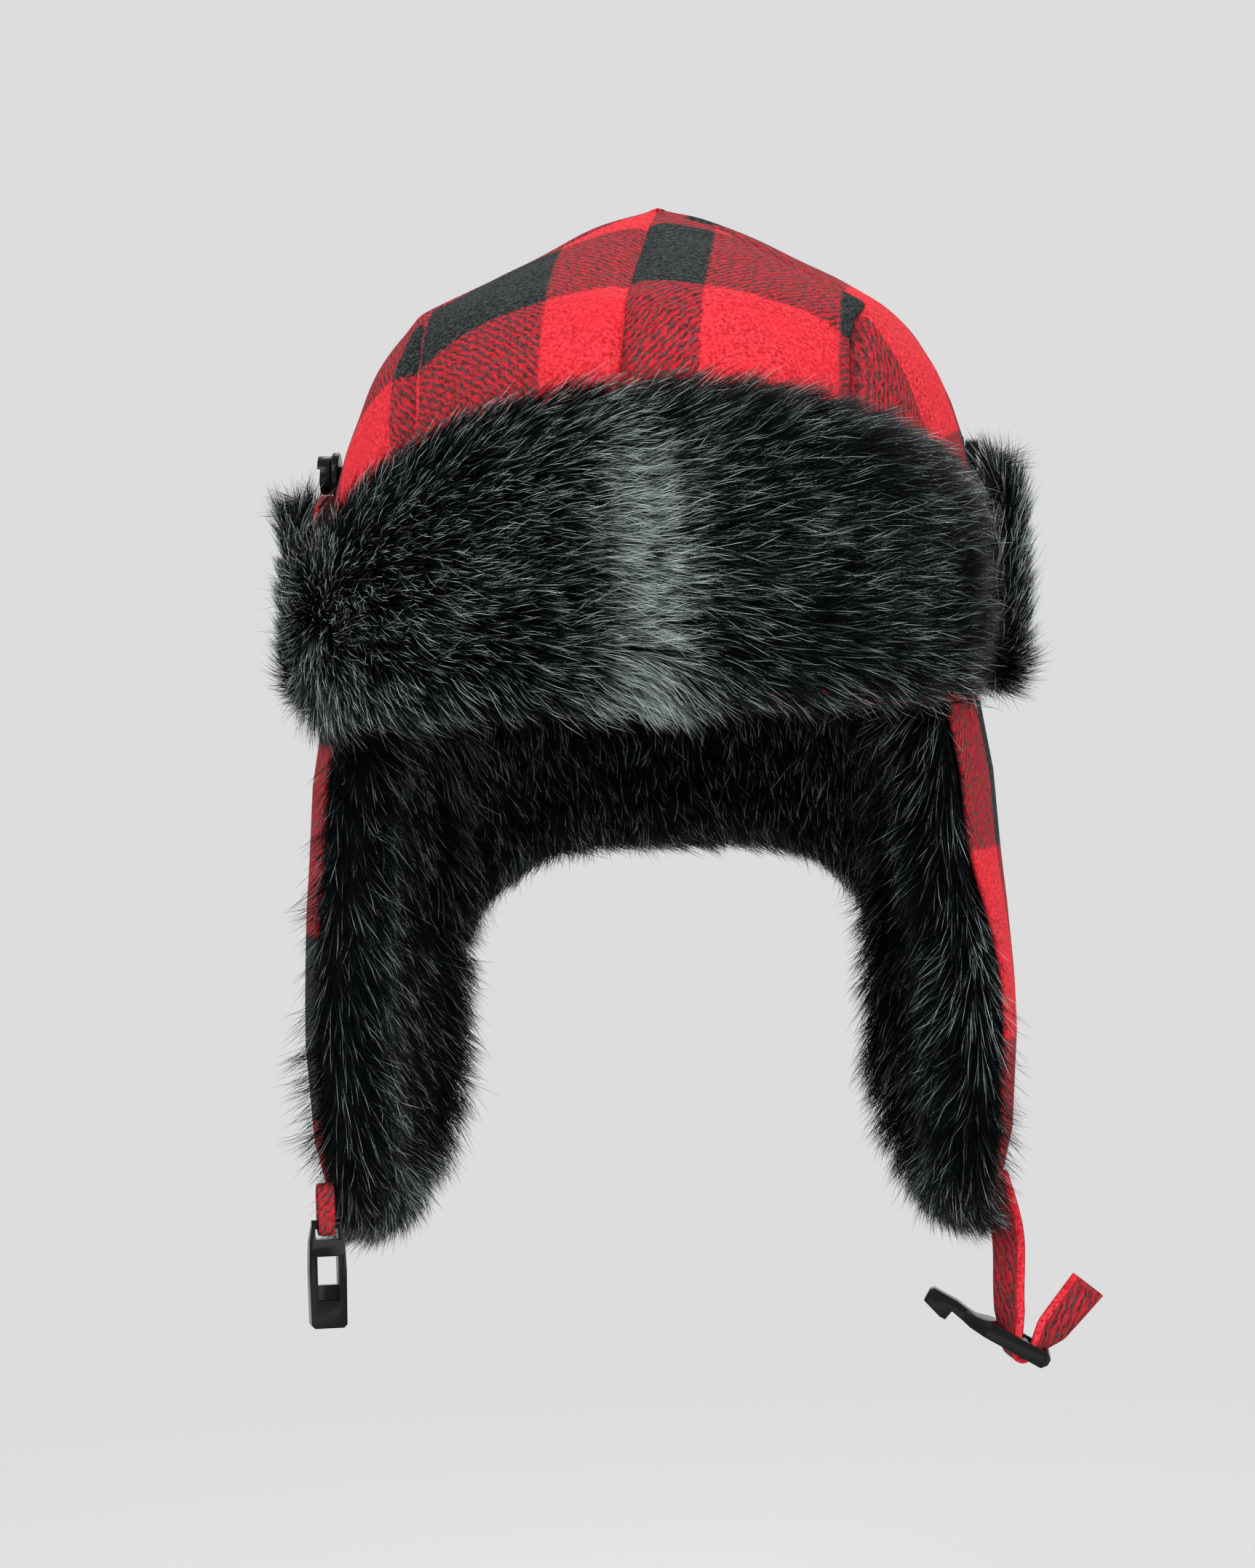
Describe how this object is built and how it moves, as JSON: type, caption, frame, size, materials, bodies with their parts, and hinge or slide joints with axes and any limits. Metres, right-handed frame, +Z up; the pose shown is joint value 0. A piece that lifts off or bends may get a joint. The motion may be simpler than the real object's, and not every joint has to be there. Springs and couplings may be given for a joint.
{
  "type": "trapper hat",
  "caption": "Winter trapper hat: padded wool crown, turned-up fur visor, fur-lined ear and neck flaps, chin strap with a push clip.",
  "frame": {"origin": "centre of the head opening, level with the crown's lower edge", "axes": "+Z up, the wearer looks along -Y, +X is the wearer's left"},
  "size_m": [0.2513, 0.2593, 0.3534],
  "materials": {
    "wool_plaid": "brushed wool cloth in a large red and black check",
    "faux_fur": "long faux fur, near-black with grey tips",
    "wadding": "polyester wadding",
    "lining": "black quilted satin lining",
    "headband": "black ribbed knit",
    "stiffener": "stiff woven interlining",
    "buckle_plastic": "black moulded acetal",
    "snap_plastic": "black moulded snap"
  },
  "bodies": {
    "crown": {"crown_gore_front_left": "wool_plaid", "crown_gore_front_right": "wool_plaid", "crown_gore_side_left": "wool_plaid", "crown_gore_side_right": "wool_plaid", "crown_gore_back_left": "wool_plaid", "crown_gore_back_right": "wool_plaid", "crown_wadding": "wadding", "crown_lining": "lining", "headband": "headband", "left_snap_stud": "snap_plastic", "right_snap_stud": "snap_plastic"},
    "visor": {"visor_shell": "wool_plaid", "visor_stiffener": "stiffener", "visor_fur": "faux_fur"},
    "neck_flap": {"neck_flap_shell": "wool_plaid", "neck_flap_wadding": "wadding", "neck_flap_fur": "faux_fur"},
    "left_ear_flap": {"left_ear_flap_shell": "wool_plaid", "left_ear_flap_wadding": "wadding", "left_ear_flap_fur": "faux_fur"},
    "right_ear_flap": {"right_ear_flap_shell": "wool_plaid", "right_ear_flap_wadding": "wadding", "right_ear_flap_fur": "faux_fur", "right_clip_loop": "wool_plaid"},
    "left_cuff": {"left_cuff_shell": "wool_plaid", "left_cuff_fur": "faux_fur", "left_cuff_socket": "snap_plastic"},
    "right_cuff": {"right_cuff_shell": "wool_plaid", "right_cuff_fur": "faux_fur", "right_cuff_socket": "snap_plastic"},
    "left_strap": {"left_chin_strap": "wool_plaid", "male_clip": "buckle_plastic"},
    "female_latch": {"female_clip": "buckle_plastic"}
  },
  "joints": [
    {"name": "visor_fold", "type": "hinge", "parent": "crown", "child": "visor", "pos_m": [0, -0.1, -0.001], "axis": [1, 0, 0], "range_deg": [0, 80]},
    {"name": "neck_flap_fold", "type": "hinge", "parent": "crown", "child": "neck_flap", "pos_m": [0, 0.118, -0.001], "axis": [1, 0, 0], "range_deg": [0, 150]},
    {"name": "left_ear_flap_fold", "type": "hinge", "parent": "crown", "child": "left_ear_flap", "pos_m": [0.1015, 0.012, -0.001], "axis": [0, -1, 0], "range_deg": [-6, 105]},
    {"name": "right_ear_flap_fold", "type": "hinge", "parent": "crown", "child": "right_ear_flap", "pos_m": [-0.1015, 0.012, -0.001], "axis": [0, 1, 0], "range_deg": [-6, 105]},
    {"name": "left_cuff_fold", "type": "hinge", "parent": "crown", "child": "left_cuff", "pos_m": [0.1005, 0.021, 0.006], "axis": [0, 1, 0], "range_deg": [0, 45]},
    {"name": "right_cuff_fold", "type": "hinge", "parent": "crown", "child": "right_cuff", "pos_m": [-0.1005, 0.021, 0.006], "axis": [0, -1, 0], "range_deg": [0, 45]},
    {"name": "left_strap_swing", "type": "hinge", "parent": "left_ear_flap", "child": "left_strap", "pos_m": [0.1052, -0.01, -0.149], "axis": [0, -1, 0], "range_deg": [-6, 90]},
    {"name": "female_clip_swing", "type": "hinge", "parent": "right_ear_flap", "child": "female_latch", "pos_m": [-0.099, -0.042, -0.153], "axis": [0.9659, 0.2588, 0], "range_deg": [-80, 15]}
  ]
}
